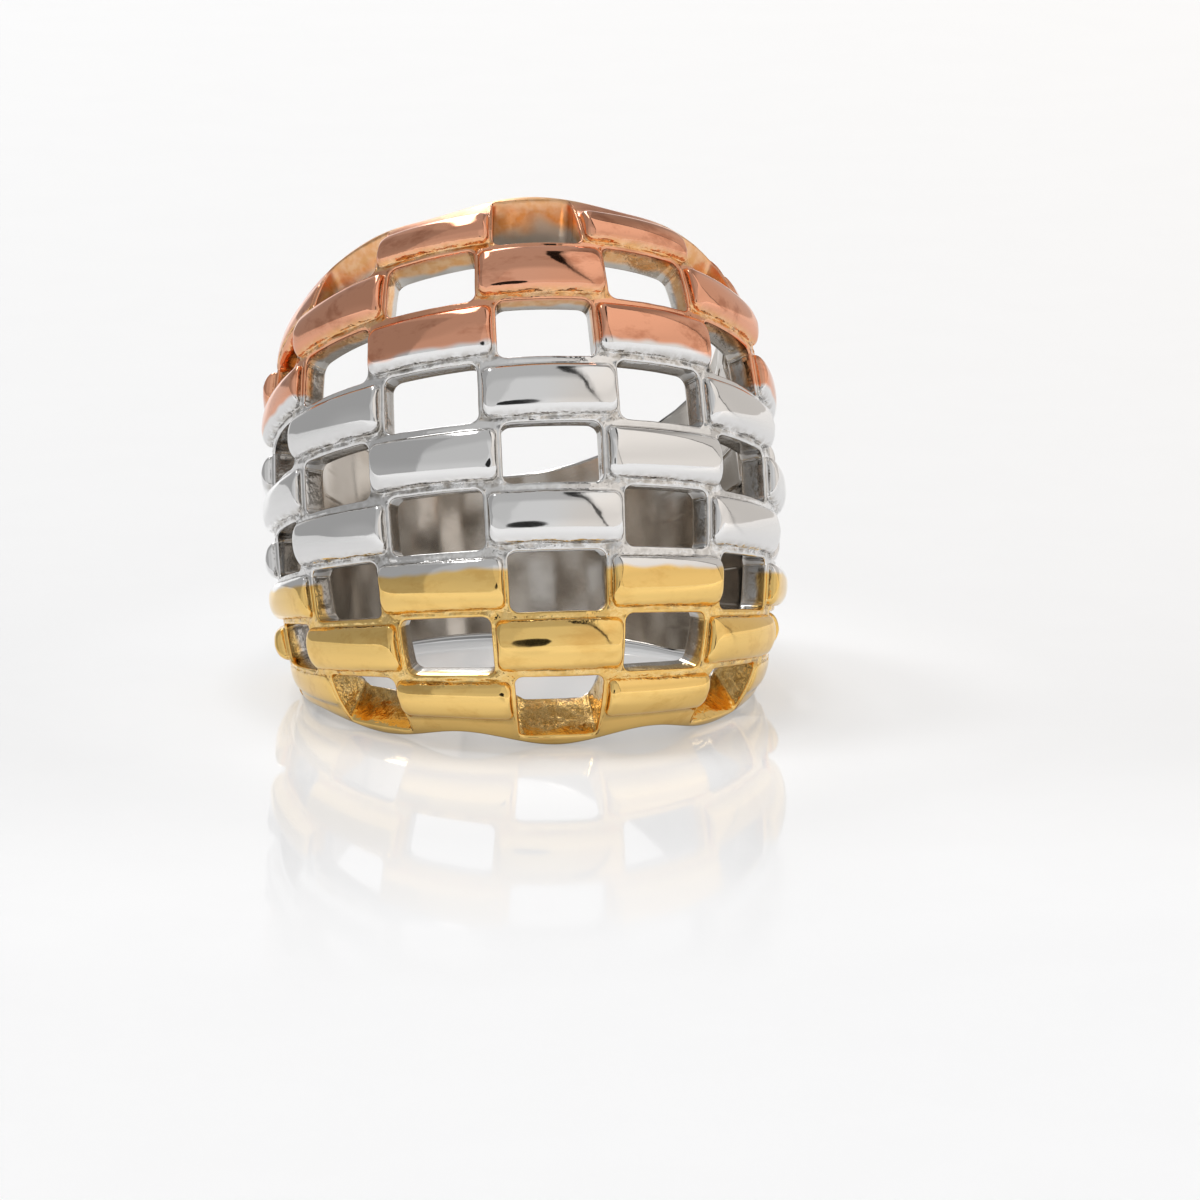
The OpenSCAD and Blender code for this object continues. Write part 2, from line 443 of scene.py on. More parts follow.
@dataclass
class Casting:
    """Collects the patches of the ring and welds them."""

    points: list[np.ndarray] = field(default_factory=list)
    marks: list[np.ndarray] = field(default_factory=list)
    faces: list[list[int]] = field(default_factory=list)
    count: int = 0

    def add(self, points: np.ndarray, row: np.ndarray, grain: float | np.ndarray = 0.0,
            depth: float = 0.0) -> np.ndarray:
        """Adds points and what the finish reads there.

        Args:
            points: The points.
            row: The row of each point.
            grain: How rough the casting was left there, from 0 to 1.
            depth: How far through the wall they lie, from 0 on the skin to LINING.

        Returns:
            The numbers of the new points.
        """
        n = len(points)
        self.points.append(points)
        self.marks.append(np.stack([row, np.broadcast_to(grain, n), np.full(n, depth)], 1))
        self.count += n
        return np.arange(self.count - n, self.count)

    def grid(self, lines: list[np.ndarray], closed: bool) -> None:
        """Adds faces between lines.

        Args:
            lines: Lines of equally many point numbers.
            closed: Whether each line closes on itself.
        """
        for low, high in zip(lines, lines[1:]):
            ends = len(low) if closed else len(low) - 1
            for i in range(ends):
                k = (i + 1) % len(low)
                self.faces.append([int(low[i]), int(low[k]), int(high[k]), int(high[i])])

    def ridge(self, loop: np.ndarray) -> None:
        """Closes a long narrow loop with cross strips, and one face at either end.

        Args:
            loop: The loop's point numbers, anticlockwise from its upper left corner.
        """
        order = np.roll(loop, -(STEPS.corner + STEPS.side // 2))
        half, first = len(loop) // 2, STEPS.side // 2 + 1
        low, high = order[1:half], order[:half:-1]
        self.grid([low[first - 1:len(low) - first + 1], high[first - 1:len(high) - first + 1]], closed=False)
        left = high[:first][::-1], order[:1], low[:first]
        right = low[-first:], order[half:half + 1], high[-first:][::-1]
        self.faces += [[int(i) for i in np.concatenate(end)] for end in (left, right)]

    def patch(self, points: np.ndarray, row: np.ndarray, side: int, depth: float = 0.0) -> None:
        """Fills a closed loop with a woven surface.

        Args:
            points: The loop, anticlockwise from its upper left corner.
            row: The row of each point.
            side: The number of steps down the left and right sides.
            depth: How far through the wall it lies.
        """
        level = len(points) // 2 - side
        whole = np.concatenate([np.column_stack([points, row]), [[*points[0], row[0]]]])
        left, bottom = whole[:side + 1][::-1], whole[side:side + level + 1]
        right, top = whole[side + level:2 * side + level + 1], whole[2 * side + level:][::-1]
        surface = woven(left, right, bottom, top)
        self.grid([self.add(line[:, :3], line[:, 3], depth=depth) for line in surface], closed=False)

    def welded(self) -> tuple[np.ndarray, np.ndarray, list[list[int]]]:
        """The casting with points that coincide made one.

        Returns:
            The points, their marks and the faces.
        """
        points, marks = np.concatenate(self.points), np.concatenate(self.marks)
        _, first, number = np.unique(np.round(points / WELD_MM).astype(np.int64), axis=0,
                                     return_index=True, return_inverse=True)
        number = number.ravel()
        faces = []
        for face in self.faces:
            ring = [int(number[i]) for i in face]
            ring = [v for i, v in enumerate(ring) if v != ring[i - 1]]
            if len(set(ring)) > 2:
                faces.append(ring)
        return points[first], marks[first], faces


# Sub-assemblies of the casting


@dataclass(frozen=True)
class Gaps:
    """The gaps: pierced where column and row add up to an even number, and filled in the last columns."""

    form: Form
    half_w: float = 0.41
    half_h: float = 0.47
    corner_w: float = 0.075
    corner_h: float = 0.13
    edge_mm: float = 0.13
    edge_grain: float = 0.2
    wall_grain: float = 0.12
    lowest_wall_grain: float = 0.4
    wall_depths: Pair = (0.1, 0.9)
    dimple_mm: float = 0.1
    dimple_sinks: tuple[float, ...] = (0.0, 0.25, 0.8, 1.0)
    dimple_step: float = 0.9
    flare_w: float = 0.02
    flare_h: float = 0.015

    def open(self, column: int) -> bool:
        """Whether the gaps of a column are pierced."""
        return abs(column) < self.form.columns

    def box(self, column: int, row: int, grow_mm: float = 0.0) -> Box:
        """A gap's box on the skin.

        Args:
            column: The gap's column.
            row: The gap's row.
            grow_mm: How far it is grown all round, where it is pierced.

        Returns:
            The box.
        """
        last = abs(row) == self.form.rows - 1
        low = self.form.rows - 1 - self.half_h
        half = (self.form.last_gap_end - low) / 2 if last else self.half_h
        middle = math.copysign(self.form.last_gap_end - half, row) if last else row
        box = Box(column, middle, self.half_w, half, self.corner_w, self.corner_h)
        grow = grow_mm if self.open(column) else 0.0
        return box.grown(grow / self.form.column_mm(), grow / float(self.form.row_mm(np.array(column))))

    def inner_box(self, column: int, row: int, grow_mm: float = 0.0) -> Box:
        """A gap's box at the lining, a little larger than outside where it is pierced."""
        box = self.box(column, row, grow_mm)
        return box.grown(self.flare_w, self.flare_h) if self.open(column) else box

    def reach(self, column: int) -> float:
        """Column at which the gaps' right corners meet the diagonals, counted from the gaps' middle."""
        return float(self.box(column, 0, self.edge_mm).corner(1, 1, np.array([MEETING]))[0, 0]) - column

    def build(self, casting: Casting) -> int:
        """Adds every gap's walls, or its filling.

        Args:
            casting: The casting.

        Returns:
            The number of open gaps.
        """
        cells = self.form.cells(odd=False)
        for column, row in cells:
            (self.pierce if self.open(column) else self.blind)(casting, column, row)
        return sum(self.open(column) for column, _ in cells)

    def pierce(self, casting: Casting, column: int, row: int) -> None:
        """Adds one gap's rounded edges and its wall.

        Args:
            casting: The casting.
            column: The gap's column.
            row: The gap's row.
        """
        form = self.form
        wide = self.box(column, row, self.edge_mm).gap_loop()
        line = self.box(column, row).gap_loop()
        edge, inner = form.skin(line), form.lining(self.inner_box(column, row).gap_loop())
        top, foot = towards(edge, inner, self.edge_mm), towards(inner, edge, self.edge_mm)
        outer = rounded(form.skin(wide), edge, top)
        walls = between(top, foot, STEPS.wall)
        ending = rounded(foot, inner, form.lining(self.inner_box(column, row, self.edge_mm).gap_loop()))
        rings = np.concatenate([outer, walls[1:-1], ending])
        fillet, (start, end) = STEPS.fillet, self.wall_depths
        flat = np.linspace(start, end, len(rings) - 2 * fillet)
        depths = np.concatenate([np.zeros(fillet), flat, np.full(fillet, LINING)])
        wall = self.lowest_wall_grain if row == 1 - form.rows else self.wall_grain
        grains = np.interp(depths, (0.0, start, end, LINING), (self.edge_grain, wall, wall, 0.0))
        casting.grid([casting.add(ring, line[:, 1], float(grain), float(depth))
                      for ring, grain, depth in zip(rings, grains, depths)], closed=True)

    def blind(self, casting: Casting, column: int, row: int) -> None:
        """Fills one gap of the last columns: a shallow dimple outside, plain inside.

        Args:
            casting: The casting.
            column: The gap's column.
            row: The gap's row.
        """
        form = self.form
        w = self.dimple_step * self.dimple_mm / form.column_mm()
        h = self.dimple_step * self.dimple_mm / float(form.row_mm(np.array(column)))
        lines = []
        for k, sink in enumerate(self.dimple_sinks):
            loop = self.box(column, row).grown(-k * w, -k * h).gap_loop()
            points = form.skin(loop, -sink * self.dimple_mm)
            lines.append(casting.add(points, loop[:, 1]))
        casting.grid(lines, closed=True)
        side = 2 * STEPS.corner + STEPS.side
        casting.patch(points, loop[:, 1], side)
        loop = self.box(column, row).gap_loop()
        casting.patch(form.lining(loop), loop[:, 1], side, LINING)


@dataclass(frozen=True)
class Rims:
    """The two scalloped lips that end the mesh and the shank."""

    form: Form
    gaps: Gaps
    edge_mm: float = 0.16
    shank_from: float = 0.01
    lining_rows: float = 0.8

    def columns(self, column: int) -> np.ndarray:
        """The columns of the rim's points beside one column of the mesh.

        Args:
            column: The mesh's column.

        Returns:
            Columns, to the right.
        """
        if column % 2 == 0:
            return self.gaps.box(column, 0, self.gaps.edge_mm).level_edge(1)[:, 0]
        left = column - 1 + self.gaps.reach(column - 1)
        right = column + 1 - self.gaps.reach(column + 1)
        return np.linspace(left, right, 2 * STEPS.corner + STEPS.level + 1)

    def plated(self, columns: np.ndarray) -> np.ndarray:
        """1 on the mesh, whose rows are plated, and 0 on the shank."""
        return (np.abs(columns) < self.form.columns + self.gaps.reach(0) + self.shank_from).astype(float)

    def skin_places(self, columns: np.ndarray, up: int) -> np.ndarray:
        """Places on the skin where the lip starts to turn."""
        rows = self.form.rim_row(columns) - self.edge_mm / self.form.row_mm(columns)
        return np.stack([columns, up * rows], 1)

    def inner_points(self, columns: np.ndarray, up: int) -> tuple[np.ndarray, np.ndarray]:
        """The lip's inner edge, and where the lining starts beyond it.

        Args:
            columns: Columns round the rim.
            up: 1 for the upper rim and -1 for the lower one.

        Returns:
            Points on the inner edge, and points of the lining an edge's width from it.
        """
        rim = self.form.rim_row(columns)
        edge = self.form.lining(np.stack([columns, up * rim], 1), on_rim=True)
        far = self.form.lining(np.stack([columns, up * (rim - self.lining_rows)], 1))
        return edge, towards(edge, far, self.edge_mm)

    def lobe(self, casting: Casting, column: int, up: int) -> None:
        """Adds the strip of skin and lining between the rim and the last gap of an even column.

        Args:
            casting: The casting.
            column: The column.
            up: 1 for the upper rim and -1 for the lower one.
        """
        form = self.form
        row = up * (form.rows - 1)
        edge_mm = self.gaps.edge_mm
        gap = self.gaps.box(column, row, edge_mm).level_edge(up)
        inner = self.gaps.inner_box(column, row, edge_mm).level_edge(up)
        rim_columns = self.columns(column)
        rim = self.skin_places(rim_columns, up)
        outside = between(gap, rim, STEPS.diagonal)
        casting.grid([casting.add(form.skin(p), p[:, 1]) for p in outside], closed=False)
        inside = between(form.lining(inner), self.inner_points(rim_columns, up)[1], STEPS.diagonal)
        casting.grid([casting.add(p, rim[:, 1], depth=LINING) for p in inside], closed=False)

    def lip(self, casting: Casting, columns: np.ndarray, up: int) -> None:
        """Adds one closed lip.

        Args:
            casting: The casting.
            columns: Columns all the way round, to the right.
            up: 1 for the upper rim and -1 for the lower one.
        """
        form = self.form
        start = self.skin_places(columns, up)
        rim = np.stack([columns, up * form.rim_row(columns)], 1)
        edge = form.skin(rim)
        inner, lining = self.inner_points(columns, up)
        top, foot = towards(edge, inner, self.edge_mm), towards(inner, edge, self.edge_mm)
        rings = np.concatenate([rounded(form.skin(start), edge, top), rounded(foot, inner, lining)])
        rows = rim[:, 1] * self.plated(columns)
        lines = [casting.add(ring, rows) for ring in rings[:-1]]
        lines.append(casting.add(rings[-1], rows, depth=LINING))
        casting.grid(lines, closed=True)


@dataclass(frozen=True)
class Bars:
    """The raised half-round bars, staggered column by column."""

    form: Form
    gaps: Gaps
    rims: Rims
    foot_half_w: float = 0.555
    crown_half_w: float = 0.485
    half_h: float = 0.415
    corner_w: float = 0.06
    crown_corner_w: float = 0.15
    corner_h: float = 0.14
    rise_mm: float = 0.53
    roundness: float = 2.4
    last_row: float = 3.92
    last_share: float = 0.85
    side_rise: float = 0.2
    turns: tuple[float, ...] = (0, 8, 17, 27, 37, 47, 56, 65, 73, 80, 86)
    seed: int = 11
    slip_rows: float = 0.012
    slant_rows: float = 0.022
    spare_rise: float = 0.07
    corner_share: float = 0.85
    corner_degrees: Pair = (30, 60)
    grain_rows: tuple[float, ...] = (-4, -3, 0)
    grain_above: tuple[float, ...] = (1.0, 0.7, 0.1)
    grain_from: float = 0.55
    grain_fade: float = 0.3
    grain_end_w: float = 0.04
    grain_heights: Pair = (1.3, 1.9)
    shoulder_w: Pair = (0.1, 0.5)

    def border(self, column: int, row: int, inside: bool) -> np.ndarray:
        """The border of a bar's tile: the near sides of the four gaps round it, or the rim.

        Args:
            column: The bar's column.
            row: The bar's row.
            inside: Whether it is wanted on the lining, and not on the skin.

        Returns:
            Points of the lining, or places on the skin, anticlockwise from the top of the left side.
        """
        mm, rim = self.gaps.edge_mm, self.rims.columns(column)
        box = self.gaps.inner_box if inside else self.gaps.box
        sides = [box(column - 1, row, mm).side_edge(1)[::-1], box(column, row - 1, mm).level_edge(1),
                 box(column + 1, row, mm).side_edge(-1), box(column, row + 1, mm).level_edge(-1)]
        if inside:
            sides = [self.form.lining(side) for side in sides]
        for side in Side:
            if row == side.value * (self.form.rows - 1):
                sides[2 + side.value] = (self.rims.inner_points(rim, side.value)[1] if inside
                                         else self.rims.skin_places(rim, side.value))
        return linked([*sides[:3], sides[3][::-1]])

    def middle(self, row: int) -> Pair:
        """Where a bar lies and how high it is.

        Args:
            row: The bar's row.

        Returns:
            The row of its ridge, and half of its height in rows.
        """
        if abs(row) == self.form.rows - 1:
            return math.copysign(self.last_row, row), self.half_h * self.last_share
        return row, self.half_h

    def ring(self, column: int, row: int, degrees: float, slip: float, slant: float) -> np.ndarray:
        """Places of one ring up a bar's side.

        Args:
            column: The bar's column.
            row: The bar's row.
            degrees: How far up, from the foot at 0 to the ridge at 90.
            slip: Rows by which the bar lies too high.
            slant: Rows by which it rises to the right, over one column.

        Returns:
            The places, anticlockwise from the top of the left side.
        """
        shrink = math.cos(math.radians(degrees)) ** (2 / self.roundness)
        ridge, half_h = self.middle(row)
        half_h *= shrink
        half_w = self.crown_half_w + (self.foot_half_w - self.crown_half_w) * shrink
        corner_w = self.crown_corner_w + (self.corner_w - self.crown_corner_w) * shrink
        box = Box(column, ridge, half_w, half_h, corner_w, min(self.corner_h, self.corner_share * half_h))
        loop = box.loop(*self.corner_degrees)
        loop[:, 1] += slip + slant * (loop[:, 0] - column)
        return loop

    def grain(self, places: np.ndarray, column: int, row: int, height: float = 0.0) -> np.ndarray:
        """How rough a bar's side and ledge were left: most below it, and above it in the lower rows.

        Args:
            places: Places round the bar.
            column: The bar's column.
            row: The bar's row.
            height: How far up the bar the places lie, from 0 to 1.

        Returns:
            One number a place, from 0 to 1.
        """
        last = self.form.rows - 1
        ridge, half_h = self.middle(row)
        off = (places[:, 1] - ridge) / half_h
        below = 0.0 if row == -last else 1.0
        above = 0.0 if row == last else float(np.interp(row, self.grain_rows, self.grain_above))
        side = np.clip((np.abs(off) - self.grain_from) / self.grain_fade, 0, 1)
        side = side * np.where(off < 0, below, above)
        past_crown = np.abs(places[:, 0] - column) - self.crown_half_w
        ends = np.clip(past_crown / self.grain_end_w, 0, 1) * self.gaps.edge_grain
        start, fade = self.shoulder_w
        shoulder = np.clip((self.form.columns + start - np.abs(places[:, 0])) / fade, 0, 1)
        foot, loss = self.grain_heights
        return np.maximum(side, ends) * np.clip(foot - height * loss, 0, 1) * shoulder

    def bar(self, casting: Casting, column: int, row: int, chance: np.random.Generator) -> None:
        """Adds one bar with the ledge round it and the lining behind it.

        Args:
            casting: The casting.
            column: The bar's column.
            row: The bar's row.
            chance: The draws that make the bars differ.
        """
        form = self.form
        slip = float(chance.uniform(-1, 1)) * self.slip_rows
        slant = float(chance.uniform(-1, 1)) * self.slant_rows
        rise = self.rise_mm * (1 - self.spare_rise * float(chance.uniform(0, 1)))
        if abs(row) == form.rows - 1 and abs(column) == form.columns - 1:
            rise *= self.side_rise
        rings = [self.ring(column, row, t, slip, slant) for t in self.turns]
        border = self.border(column, row, inside=False)
        lines = [casting.add(form.skin(p), p[:, 1], self.grain(p, column, row))
                 for p in between(border, rings[0], STEPS.ledge)[:-1]]
        for places, degrees in zip(rings, self.turns):
            height = math.sin(math.radians(degrees))
            points = form.skin(places, rise * height)
            lines.append(casting.add(points, places[:, 1], self.grain(places, column, row, height)))
        casting.grid(lines, closed=True)
        casting.ridge(lines[-1])
        turn = STEPS.diagonal // 2
        lining = np.roll(self.border(column, row, inside=True), turn, axis=0)
        side = 2 * (STEPS.corner + turn) + STEPS.side
        casting.patch(lining, np.roll(border[:, 1], turn), side, LINING)

    def build(self, casting: Casting) -> int:
        """Adds every bar.

        Args:
            casting: The casting.

        Returns:
            The number of bars.
        """
        chance = np.random.default_rng(self.seed)
        cells = self.form.cells(odd=True)
        for column, row in cells:
            self.bar(casting, column, row, chance)
        return len(cells)


@dataclass(frozen=True)
class Shank:
    """The plain band at the back and the two shoulders that join it to the mesh."""

    form: Form
    gaps: Gaps
    rims: Rims
    start: float = 4.95

    def shoulder(self) -> tuple[np.ndarray, np.ndarray]:
        """The right edge of the mesh, from the lower rim to the upper one.

        Returns:
            Places on the skin, and the points of the lining opposite.
        """
        form, mm = self.form, self.gaps.edge_mm
        last, column = form.rows - 1, form.columns
        rim_column = np.array([column + self.gaps.reach(column)])
        sides = []
        for row in range(-last, last + 1):
            filled = (column + row) % 2 == 0
            box = self.gaps.box(column if filled else column + 1, row, mm)
            sides.append(box.side_edge(1 if filled else -1))
        low, high = (self.rims.skin_places(rim_column, side.value) for side in Side)
        inner_low, inner_high = (self.rims.inner_points(rim_column, side.value)[1] for side in Side)
        inner = [inner_low, *(form.lining(side) for side in sides), inner_high]
        return linked([low, *sides, high], closed=False), linked(inner, closed=False)

    def lines(self) -> list[tuple[np.ndarray, np.ndarray]]:
        """Lines up the shank, from the right shoulder to the middle of the back.

        Returns:
            For each line its places on the skin and the points of the lining opposite.
        """
        line, inner = self.shoulder()
        straight = np.stack([np.full(len(line), self.start), line[:, 1]], 1)
        middle = math.pi / self.form.column_turn
        turns = [line + (straight - line) * k / STEPS.shoulder for k in range(1, STEPS.shoulder)]
        turns += [straight + [(middle - self.start) * k / STEPS.shank, 0] for k in range(STEPS.shank + 1)]
        made = [(line, inner)]
        for places in turns:
            rim = self.rims.skin_places(places[[-1], 0], Side.HIGH.value)[0, 1]
            places[:, 1] *= rim / line[-1, 1]
            points = self.form.lining(places)
            for end, side in ((0, Side.LOW), (-1, Side.HIGH)):
                column = places[[end], 0]
                places[end] = self.rims.skin_places(column, side.value)[0]
                points[end] = self.rims.inner_points(column, side.value)[1][0]
            made.append((places, points))
        return made

    def build(self, casting: Casting) -> list[float]:
        """Adds the shoulders and the shank.

        Args:
            casting: The casting.

        Returns:
            The columns of the lines at the rims.
        """
        half = self.lines()
        whole = half + [(places * [-1, 1], points * [-1, 1, 1]) for places, points in half[-2::-1]]
        rows = [p[:, 1] * (k in (0, len(whole) - 1)) for k, (p, _) in enumerate(whole)]
        skin = [casting.add(self.form.skin(p), row) for (p, _), row in zip(whole, rows)]
        lining = [casting.add(points, row, depth=LINING) for (_, points), row in zip(whole, rows)]
        casting.grid(skin, closed=False)
        casting.grid(lining, closed=False)
        return [float(p[0, 0]) for p, _ in whole]


# Finishes


@dataclass
class Graph:
    """Short forms for the nodes of one shader."""

    tree: bpy.types.NodeTree

    def node(self, kind: str, inputs: dict | None = None, **settings: object) -> bpy.types.Node:
        """Adds a node.

        Args:
            kind: Its type.
            inputs: Values or links of its inputs, by name or number.
            **settings: Its properties.

        Returns:
            The node.
        """
        made = self.tree.nodes.new(kind)
        for name, value in settings.items():
            setattr(made, name, value)
        for name, value in (inputs or {}).items():
            self.feed(made.inputs[name], value)
        return made

    def feed(self, socket: Socket, value: object) -> None:
        """Links a socket to an output, or sets its value.

        Args:
            socket: The input.
            value: The output or the value.
        """
        if isinstance(value, Socket):
            self.tree.links.new(value, socket)
        else:
            socket.default_value = value

    def math(self, operation: str, *values: object) -> Socket:
        """One step of arithmetic on up to three values."""
        return self.node("ShaderNodeMath", dict(enumerate(values)), operation=operation).outputs[0]

    def ramp(self, value: object, low: float, high: float, bottom: float = 0.0, top: float = 1.0) -> Socket:
        """A smooth step.

        Args:
            value: The number it depends on.
            low: Where it starts.
            high: Where it ends.
            bottom: Its value at the start and before.
            top: Its value at the end and beyond.

        Returns:
            The step's value.
        """
        inputs = {"Value": value, "From Min": low, "From Max": high, "To Min": bottom, "To Max": top}
        return self.node("ShaderNodeMapRange", inputs, interpolation_type="SMOOTHSTEP").outputs[0]

    def span(self, value: object, pair: Pair, top: float = 1.0) -> Socket:
        """A smooth step from 0 to top between two lengths in millimetres."""
        return self.ramp(value, pair[0] * MM, pair[1] * MM, 0.0, top)

    def mix(self, share: object, a: object, b: object) -> Socket:
        """A colour between two.

        Args:
            share: How much of the second, from 0 to 1.
            a: The first colour.
            b: The second colour.

        Returns:
            The colour.
        """
        made = self.node("ShaderNodeMix", data_type="RGBA")
        for index, value in ((0, share), (6, a), (7, b)):
            self.feed(made.inputs[index], value)
        return made.outputs[2]

    def number(self, share: object, a: object, b: object) -> Socket:
        """A number between two, by a share of the second."""
        return self.node("ShaderNodeMix", {0: share, 2: a, 3: b}, data_type="FLOAT").outputs[0]

    def noise(self, where: object, size_mm: float, detail: float = 3.0, rough: float = 0.55) -> Socket:
        """Noise.

        Args:
            where: The point.
            size_mm: The size of its grains.
            detail: How many finer layers it has.
            rough: How much of each.

        Returns:
            A number from 0 to 1.
        """
        inputs = {"Vector": where, "Scale": 1 / (size_mm * MM), "Detail": detail, "Roughness": rough}
        return self.node("ShaderNodeTexNoise", inputs).outputs[0]

    def attribute(self, name: str) -> Socket:
        """A number stored on the mesh."""
        return self.node("ShaderNodeAttribute", attribute_name=name).outputs["Fac"]


@dataclass(frozen=True)
class Spot:
    """A point on the ring as its finish reads it, each value an output of one shader's nodes."""

    graph: Graph
    where: Socket
    row: Socket
    recess: Socket
    depth: Socket
    cloud: Socket
    grit: Socket


@dataclass(frozen=True)
class PlatedFinish:
    """Polished cast silver, plated by row, bright on the bars and lumpy in the recesses.

    A pair says where a change starts and where it ends, or its two values. Each plated_ tuple has the two
    rows of a change and the depth to which walls are plated beyond it, and plated_top the depth before it
    too. Each ripple has a size, a height and a strength.
    """

    name: str = "three_tone_plating"
    cloud_mm: float = 1.6
    cloud_range: Pair = (0.2, 0.8)
    grit_mm: float = 0.38
    grit_rough: float = 0.6
    speckle_range: Pair = (0.35, 0.65)
    rose_row: float = 1.76
    yellow_row: float = -1.79
    fade_rows: float = 0.05
    wander_rows: float = 0.09
    plated_top: tuple[float, ...] = (2.2, 2.9, 0.45, 0.68)
    plated_last: Triple = (3.5, 3.9, 0.5)
    plated_rim: Triple = (-3.35, -4.3, 0.95)
    plated_wander: float = 0.6
    plated_fade: float = 0.12
    inside_depths: Pair = (0.1, 0.9)
    hidden_depths: Pair = (0.05, 0.3)
    pale_rim_rows: Pair = (4.6, 4.8)
    stain: float = 0.75
    stain_mm: float = 1.0
    stain_detail: float = 4.0
    stain_rough: float = 0.65
    stain_range: Pair = (0.5, 0.7)
    stain_scale: Triple = (0.4, 1.0, 1.0)
    # painted shade, partly oxide: the walls of the middle gaps darkened towards black
    wall_shade: float = 0.45
    wall_rows: Pair = (3.2, 1.5)
    wall_foot: Pair = (1.0, 0.8)
    # painted shade: down-facing metal near the floor darkened as if in the floor's contact shadow
    foot_shade: float = 0.6
    foot_mm: float = 2.0
    foot_facing: Pair = (-0.3, -0.85)
    polish: float = 0.05
    smudge_mm: float = 1.7
    smudge_range: Pair = (0.4, 0.75)
    smudge_polish: float = 0.07
    inside_polish: float = 0.07
    lip_polish: float = 0.26
    lip_polish_rows: Pair = (4.15, 4.4)
    grain_range: Pair = (0.3, 0.7)
    grain_polish: Pair = (0.1, 0.28)
    ripples: tuple[Triple, ...] = ((2.6, 0.02, 0.6), (0.8, 0.005, 0.5))
    facet_size_mm: float = 0.8
    facet_mm: float = 0.4
    grit_height_mm: float = 0.12
    grit_gain: float = 0.75
    grit_least: float = 0.01

    def material(self) -> bpy.types.Material:
        """Makes the material, which reads the row, grain and depth stored on the mesh.

        Returns:
            The material.
        """
        made = bpy.data.materials.new(self.name)
        made.use_nodes = True
        graph = Graph(made.node_tree)
        shader = made.node_tree.nodes["Principled BSDF"]
        shader.inputs["Metallic"].default_value = 1.0
        where = graph.node("ShaderNodeTexCoord").outputs["Object"]
        marks = [graph.attribute(name) for name in MARKS]
        cloud = graph.noise(where, self.cloud_mm, 1.0)
        spot = Spot(graph, where, *marks, cloud, graph.noise(where, self.grit_mm, 2.0, self.grit_rough))
        colour = self.colour(spot)
        # Painted shade, on the middle gaps' walls and near the floor, darkens the base colour towards black.
        graph.feed(shader.inputs["Base Color"], graph.mix(self.shade(spot), colour, BLACK))
        graph.feed(shader.inputs["Roughness"], self.roughness(spot))
        graph.feed(shader.inputs["Normal"], self.relief(spot))
        return made

    def plated(self, spot: Spot) -> Socket:
        """How much plating a spot has: it thins out inside the gaps, further in near the rims.

        Args:
            spot: The spot.

        Returns:
            1 where it is plated and 0 on bare silver.
        """
        graph = spot.graph
        end = graph.ramp(spot.row, *self.plated_top)
        for start, full, depth in (self.plated_last, self.plated_rim):
            end = graph.number(graph.ramp(spot.row, start, full), end, depth)
        end = graph.math("ADD", end, self.plated_wander / 2)
        end = graph.math("MULTIPLY_ADD", spot.cloud, -self.plated_wander, end)
        return graph.ramp(graph.math("SUBTRACT", end, spot.depth), -self.plated_fade, self.plated_fade)

    def stained(self, spot: Spot) -> Socket:
        """How far a spot's clean face gives way to drawn-out stains.

        Args:
            spot: The spot.

        Returns:
            0 where it is clean and up to 1 where it is stained.
        """
        graph = spot.graph
        drawn = graph.node("ShaderNodeMapping", {"Vector": spot.where, "Scale": self.stain_scale}).outputs[0]
        noise = graph.noise(drawn, self.stain_mm, self.stain_detail, self.stain_rough)
        stain = graph.ramp(noise, *self.stain_range, 0.0, self.stain)
        return graph.math("MULTIPLY", stain, graph.ramp(spot.depth, self.inside_depths[0], 0.0))

    def colour(self, spot: Spot) -> Socket:
        """The metal's colour: three tones by row, deeper in recesses, bare silver far inside the gaps.

        Args:
            spot: The spot.

        Returns:
            The colour.
        """
        graph, half = spot.graph, self.wander_rows / 2
        place = graph.math("ADD", spot.row, graph.ramp(spot.cloud, *self.cloud_range, -half, half))
        rose = graph.ramp(place, self.rose_row - self.fade_rows, self.rose_row + self.fade_rows)
        yellow = graph.ramp(place, self.yellow_row + self.fade_rows, self.yellow_row - self.fade_rows)
        speckle = graph.ramp(spot.grit, *self.speckle_range)
        rough = graph.mix(speckle, Tone.SILVER.stained, Tone.SILVER.clean)
        dull = graph.mix(graph.ramp(spot.cloud, *self.speckle_range), Tone.INSIDE.stained, Tone.INSIDE.clean)
        colour = graph.mix(spot.recess, Tone.SILVER.clean, rough)
        colour = graph.mix(graph.ramp(spot.depth, *self.inside_depths), colour, dull)
        hidden = graph.math("MAXIMUM", spot.recess, graph.ramp(spot.depth, *self.hidden_depths))
        hidden = graph.math("MAXIMUM", hidden, graph.ramp(spot.row, *self.pale_rim_rows))
        plated, stained = self.plated(spot), self.stained(spot)
        for tone, inner, share in ((Tone.ROSE, Tone.AMBER, rose), (Tone.YELLOW, Tone.OCHRE, yellow)):
            face = graph.mix(stained, tone.clean, tone.stained)
            plate = graph.mix(hidden, face, graph.mix(speckle, inner.stained, inner.clean))
            colour = graph.mix(graph.math("MULTIPLY", plated, share), colour, plate)
        return colour

